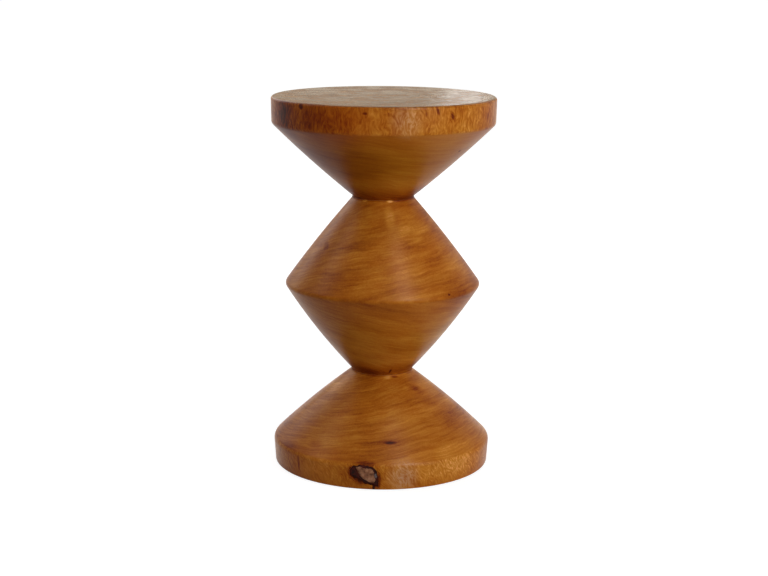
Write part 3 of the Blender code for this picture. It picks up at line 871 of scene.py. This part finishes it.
def base_corners():
    top = LOWER_JOINT_Z - SEAM_GAP / 2
    neck = (LOWER_WAIST_DIAMETER / 2 + WAIST_LIP, LOWER_JOINT_Z - NECK_HEIGHT)
    edge = (BASE_DIAMETER / 2, BASE_EDGE_Z)
    return [
        (0, top - BORE_DEPTH, 0),
        (BORE_RADIUS, top - BORE_DEPTH, 0),
        (BORE_RADIUS, top, 0),
        (neck[0], top, LIP_ROUND),
        (*neck, WAIST_ROUND),
        *bowed(neck, edge, BASE_CONE_BOW),
        (*edge, BASE_EDGE_ROUND),
        (FOOT_DIAMETER / 2, FOOT_Z, FOOT_ROUND),
        (STANDING_RING_INNER, FOOT_Z, 0),
        (0, FOOT_Z + UNDERCUT_DEPTH, 0),
    ]


def smooth_loop(points):
    """A closed curve through points in millimetres, as a dense loop in metres."""
    loop = []
    count = len(points)
    for index in range(count):
        a, b, c, d = (Vector(points[(index + step) % count]) for step in (-1, 0, 1, 2))
        for piece in range(OUTLINE_PIECES):
            t = piece / OUTLINE_PIECES
            bend = (
                2 * b + (c - a) * t + (2 * a - 5 * b + 4 * c - d) * t ** 2
                + (3 * b - a - 3 * c + d) * t ** 3
            )
            loop.append(bend * (MM / 2))
    return loop


def reach(loop, angle):
    """How far a loop lies from its middle in that direction."""
    way = Vector((math.cos(angle), math.sin(angle)))
    side = Vector((-way.y, way.x))
    best = 0.0
    for start, end in zip(loop, loop[1:] + loop[:1]):
        off_start, off_end = start.dot(side), end.dot(side)
        if (off_start > 0) != (off_end > 0):
            share = off_start / (off_start - off_end)
            best = max(best, start.lerp(end, share).dot(way))
    return best


def rim_point(surface, across, height, depth):
    """A point at that arc length from the knot's middle and that height, sunk below the turned rim."""
    azimuth = KNOT_AZIMUTH + across / (BASE_DIAMETER / 2)
    outward = Vector((math.sin(azimuth), -math.cos(azimuth), 0))
    found = surface.ray_cast(outward * BEYOND_RIM + Vector((0, 0, height)), -outward)[0]
    return found - outward * depth


def rim_inlay(name, surface, reaches, depth_at, floor_depth, finish, rings=KNOT_RINGS):
    """A closed piece let into the rim, as wide as reaches says at even angles round it. Its face lies
    depth_at(share, step) below the turned surface."""
    bm = bmesh.new()
    steps = len(reaches)

    def layer(depth_of):
        rows = []
        for ring in range(1, rings + 1):
            share = ring / rings
            row = []
            for step in range(steps):
                angle = 2 * math.pi * step / steps
                far = reaches[step] * share
                across, height = far * math.cos(angle), KNOT_Z + far * math.sin(angle)
                row.append(bm.verts.new(rim_point(surface, across, height, depth_of(share, step))))
            rows.append(row)
        centre = bm.verts.new(rim_point(surface, 0, KNOT_Z, depth_of(0, 0)))
        for step in range(steps):
            after = (step + 1) % steps
            bm.faces.new((centre, rows[0][step], rows[0][after]))
            for inner, outer in zip(rows, rows[1:]):
                bm.faces.new((inner[step], outer[step], outer[after], inner[after]))
        return rows[-1]

    face = layer(depth_at)
    floor = layer(lambda share, step: floor_depth)
    for step in range(steps):
        after = (step + 1) % steps
        bm.faces.new((face[step], floor[step], floor[after], face[after]))
    mesh = bpy.data.meshes.new(name)
    bm.to_mesh(mesh)
    bm.free()
    mesh.materials.append(finish)
    shade(mesh, SOFT_SHARP)
    return linked(bpy.data.objects.new(name, mesh))


def cut(obj, cutter):
    """Takes the cutter's shape out of an object, and removes the cutter."""
    modifier = obj.modifiers.new("Cut", "BOOLEAN")
    modifier.object = cutter
    modifier.solver = "EXACT"
    shade(baked(obj), TURNED_SHARP)
    bpy.data.objects.remove(cutter)


def make_knot(base, wood, heartwood, bark, drop):
    """The loose knot and the dark fill round it, in a pocket cut into the base rim."""
    surface = BVHTree.FromObject(base, bpy.context.evaluated_depsgraph_get())
    angles = [2 * math.pi * step / KNOT_STEPS for step in range(KNOT_STEPS)]
    core_loop, pocket_loop = smooth_loop(KNOT_CORE), smooth_loop(KNOT_POCKET)
    ragged = []
    for angle in angles:
        spot = (RAGGED_WAVES * math.cos(angle), RAGGED_WAVES * math.sin(angle), RAGGED_SLICE)
        ragged.append(1 + RAGGED_SHARE * noise.noise(spot))
    core_reach = [reach(core_loop, angle) * rag for angle, rag in zip(angles, ragged)]
    pocket_reach = [reach(pocket_loop, angle) * rag for angle, rag in zip(angles, ragged)]

    def fill_depth(share, step):
        edge = core_reach[step] / pocket_reach[step]
        if share < edge:
            return FILL_UNDER_CORE
        far = pocket_reach[step] * share
        right = far * math.cos(angles[step]) - DROP_MIDDLE[0]
        up = far * math.sin(angles[step]) - DROP_MIDDLE[1]
        if math.hypot(right / DROP_HALF[0], up / DROP_HALF[1]) < 1:
            return DROP_DEPTH + DROP_SLOPE[0] * right + DROP_SLOPE[1] * up
        return FACE_SINK + EDGE_SINK * (share - edge) / (1 - edge)

    def core_depth(share, step):
        way = Vector((math.cos(angles[step]), math.sin(angles[step]), FACE_SLICE)) * share * FACE_WAVES
        return FACE_SINK + EDGE_SINK * share ** EDGE_STEEPNESS + FACE_UNEVEN * noise.noise(way)

    fill = rim_inlay(
        "knot_resin_fill", surface, pocket_reach, fill_depth, FILL_FLOOR, bark, rings=FILL_RINGS
    )
    fill.data.materials.append(drop)
    middle = rim_point(surface, DROP_MIDDLE[0], KNOT_Z + DROP_MIDDLE[1], DROP_DEPTH)
    for face in fill.data.polygons:
        off = face.center - middle
        if math.hypot(off.x / DROP_HALF[0], off.z / DROP_HALF[1]) < 1 and abs(off.y) < DROP_REACH:
            face.material_index = 1
    core = rim_inlay("knot_core", surface, core_reach, core_depth, CORE_FLOOR, heartwood)
    pocket = rim_inlay(
        "pocket", surface, [far + POCKET_CLEARANCE for far in pocket_reach],
        lambda share, step: POCKET_OPENING, KNOT_POCKET_DEPTH, wood, rings=POCKET_RINGS,
    )
    cut(base, pocket)
    return fill, core


def make_glides(lathe, ring, felt):
    """Felt discs with softened edges, set into the standing ring under the base."""
    disc = turned("felt_glides", [
        (0, GLIDE_THICKNESS, 0),
        (GLIDE_RADIUS - GLIDE_BULGE, GLIDE_THICKNESS, GLIDE_TOP_ROUND),
        (GLIDE_RADIUS, GLIDE_THICKNESS / 2, GLIDE_SIDE_ROUND),
        (GLIDE_RADIUS - GLIDE_BULGE, 0, GLIDE_FOOT_ROUND),
        (0, 0, 0),
    ], lathe, felt, steps=GLIDE_STEPS)
    mesh = grow(disc, ring, {
        "Count": GLIDE_COUNT,
        "Ring radius": GLIDE_RING_RADIUS,
        "First turn": math.pi / GLIDE_COUNT,
        "Finish": felt,
    })
    shade(mesh, SOFT_SHARP)
    return disc


def glide_recesses(wood):
    """Flat-bottomed holes for the glides, as one cutter."""
    bm = bmesh.new()
    radius = GLIDE_RADIUS + GLUE_GAP
    for index in range(GLIDE_COUNT):
        angle = 2 * math.pi * (index + 0.5) / GLIDE_COUNT
        centre = (GLIDE_RING_RADIUS * math.cos(angle), GLIDE_RING_RADIUS * math.sin(angle), 0)
        bmesh.ops.create_cone(
            bm, cap_ends=True, segments=GLIDE_STEPS, radius1=radius, radius2=radius,
            depth=2 * (GLIDE_THICKNESS + GLUE_GAP), matrix=Matrix.Translation(centre),
        )
    mesh = bpy.data.meshes.new("recesses")
    bm.to_mesh(mesh)
    bm.free()
    mesh.materials.append(wood)
    return linked(bpy.data.objects.new("recesses", mesh))


def hand_in(obj, slot, *nodes):
    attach(obj, "root")
    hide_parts(*nodes)


def seen_rays(tree):
    """1 for rays that show the surroundings to the eye: straight, in polish or through glass."""
    rays = add(tree, "ShaderNodeLightPath").outputs
    seen = rays["Is Camera Ray"]
    for name in ("Is Glossy Ray", "Is Transmission Ray"):
        seen = add(tree, "ShaderNodeMath", {0: seen, 1: rays[name]}, operation="MAXIMUM").outputs[0]
    return seen


def pale_floor():
    """A matt pale floor that the camera sees as plain white, but for the stool's own soft shadow."""
    bpy.ops.mesh.primitive_plane_add(size=FLOOR_SIZE, location=(0, 0, FLOOR_Z))
    floor = bpy.context.object
    floor.name = "floor"
    made, tree, shader = empty_material("matt pale studio floor")
    shader.inputs["Base Color"].default_value = linear(FLOOR_COLOUR)
    shader.inputs["Roughness"].default_value = FLOOR_ROUGHNESS
    shader.inputs["Specular IOR Level"].default_value = 0.0
    place = add(tree, "ShaderNodeTexCoord").outputs["Object"]
    far = add(tree, "ShaderNodeVectorMath", {0: place}, operation="LENGTH").outputs["Value"]
    bright = add(
        tree, "ShaderNodeMapRange",
        {"Value": far, "From Min": FLOOR_NEAR, "From Max": FLOOR_FAR,
         "To Min": FLOOR_NEAR_WHITE, "To Max": 1.0},
        interpolation_type="SMOOTHSTEP",
    )
    glow = add(tree, "ShaderNodeEmission", {"Color": linear("#FFFFFF"), "Strength": bright.outputs[0]})
    lit = add(tree, "ShaderNodeBsdfDiffuse", {"Color": linear(FLOOR_SHADED)})
    white = add(tree, "ShaderNodeAddShader", {0: glow.outputs[0], 1: lit.outputs[0]})
    mixed = add(
        tree, "ShaderNodeMixShader", {0: seen_rays(tree), 1: shader.outputs[0], 2: white.outputs[0]}
    )
    tree.links.new(mixed.outputs[0], tree.nodes["Material Output"].inputs["Surface"])
    floor.data.materials.append(made)


def cream_wall():
    """A cream wall behind the stool that only the polish shows, low over the seat."""
    left, right = -WALL_WIDTH / 2, WALL_WIDTH / 2
    corners = [(left, WALL_LOW), (right, WALL_LOW), (right, WALL_HIGH), (left, WALL_HIGH)]
    mesh = bpy.data.meshes.new("cream_wall")
    mesh.from_pydata([(x, WALL_Y, z) for x, z in corners], [], [(0, 1, 2, 3)])
    made, _, shader = empty_material("matt cream wall, dimly lit")
    shader.inputs["Base Color"].default_value = linear("#000000")
    shader.inputs["Specular IOR Level"].default_value = 0.0
    shader.inputs["Emission Color"].default_value = linear(WALL_COLOUR)
    shader.inputs["Emission Strength"].default_value = WALL_STRENGTH
    mesh.materials.append(made)
    wall = linked(bpy.data.objects.new("cream_wall", mesh))
    wall.visible_camera = False
    wall.visible_diffuse = False
    wall.visible_shadow = False


def softbox(name, azimuth, elevation, distance, size, watts, lights, shows):
    """An area lamp in that direction from the stool, turned to face it."""
    lamp = bpy.data.lights.new(name, "AREA")
    lamp.shape = "RECTANGLE"
    lamp.size, lamp.size_y = size
    lamp.energy = watts
    lamp.color = linear(LAMP_COLOUR)[:3]
    obj = linked(bpy.data.objects.new(name, lamp))
    turn, rise = math.radians(azimuth), math.radians(elevation)
    level = math.cos(rise)
    toward = Vector((math.sin(turn) * level, -math.cos(turn) * level, math.sin(rise)))
    obj.location = Vector(LAMPS_FACE) + toward * distance
    obj.rotation_euler = toward.to_track_quat("Z", "Y").to_euler()
    obj.visible_camera = False
    obj.visible_diffuse = lights
    obj.visible_glossy = shows


def studio():
    """A white room: the eye and the polish see it white, while most of the light comes from the lamps."""
    world = bpy.data.worlds.new("studio")
    world.use_nodes = True
    tree = world.node_tree
    strength = add(
        tree, "ShaderNodeMapRange", {"Value": seen_rays(tree), "To Min": FILL_STRENGTH, "To Max": 1.0}
    ).outputs[0]
    background = tree.nodes["Background"]
    background.inputs["Color"].default_value = linear("#FFFFFF")
    tree.links.new(strength, background.inputs["Strength"])
    bpy.context.scene.world = world
    for lamp in LAMPS:
        softbox(*lamp)


def photo_camera():
    """The camera of the photograph, a little above the seat."""
    data = bpy.data.cameras.new("camera")
    data.sensor_width = SENSOR_WIDTH
    data.lens = FOCAL_PIXELS * SENSOR_WIDTH / PHOTO_WIDTH
    data.shift_x = SHIFT_PIXELS / PHOTO_WIDTH
    camera = linked(bpy.data.objects.new("camera", data))
    dip = Matrix.Rotation(math.radians(90 - CAMERA_DIP), 4, "X")
    roll = Matrix.Rotation(math.radians(CAMERA_ROLL), 4, "Z")
    camera.matrix_world = Matrix.Translation(CAMERA_PLACE) @ dip @ roll
    bpy.context.scene.camera = camera


def main():
    wood, heartwood, bark, drop = turned_hardwood(), knot_heartwood(), bark_resin(), resin_drop()
    felt, dowel = pressed_felt(), bare_dowel()
    lathe, ring = lathe_tree(), ring_tree()
    seat = turned("seat_turning", seat_corners(), lathe, wood)
    middle = turned("middle_turning", middle_corners(), lathe, wood)
    base = turned("base_turning", base_corners(), lathe, wood)
    fill, core = make_knot(base, wood, heartwood, bark, drop)
    cut(base, glide_recesses(wood))
    glides = make_glides(lathe, ring, felt)
    hand_in(seat, "turned_hardwood", "seat_block")
    hand_in(middle, "turned_hardwood", "middle_block")
    hand_in(base, "turned_hardwood", "base_block")
    hand_in(fill, "dark_resin", "knot_resin")
    hand_in(core, "knot_wood", "knot_plug")
    hand_in(glides, "wool_felt", *[f"felt_glide_{index + 1}" for index in range(GLIDE_COUNT)])
    for name in ("upper_tenon", "lower_tenon"):
        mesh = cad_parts[name].data
        mesh.materials.clear()
        mesh.materials.append(dowel)
    pale_floor()
    cream_wall()
    studio()
    photo_camera()
    bpy.context.scene.view_settings.view_transform = "Standard"


main()
